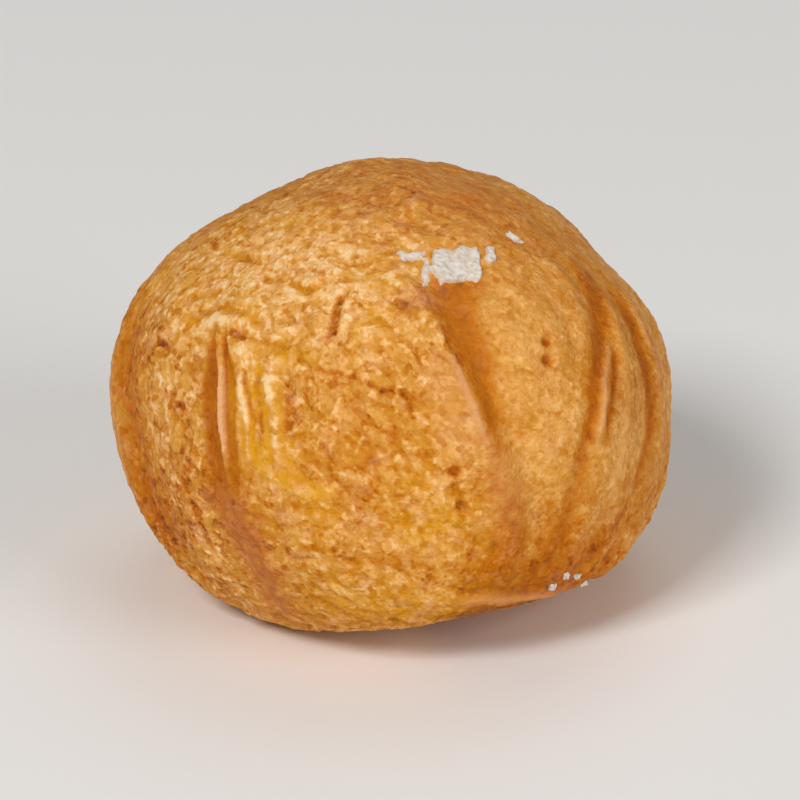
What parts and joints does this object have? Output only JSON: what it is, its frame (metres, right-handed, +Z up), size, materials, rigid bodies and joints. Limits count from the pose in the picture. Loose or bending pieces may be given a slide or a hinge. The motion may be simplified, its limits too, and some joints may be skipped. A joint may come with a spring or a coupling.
{
  "type": "cream puff",
  "caption": "Round choux bun with soft piped ribs, a wrinkled golden-brown crust and a smear of cream on its shoulder, standing on a flat foot.",
  "frame": {"origin": "on the surface that the bun stands on, below the middle of its plan box", "axes": "+Z up from the flat foot; -Y towards the front, where the broad ridge and the cream show; +X to the right seen from the front, along the widest side"},
  "size_m": [0.0612, 0.06, 0.0462],
  "materials": {
    "crust": "satin",
    "cream": "satin"
  },
  "bodies": {
    "root": {"choux_shell": "crust", "cream_smear": "cream"}
  },
  "joints": []
}
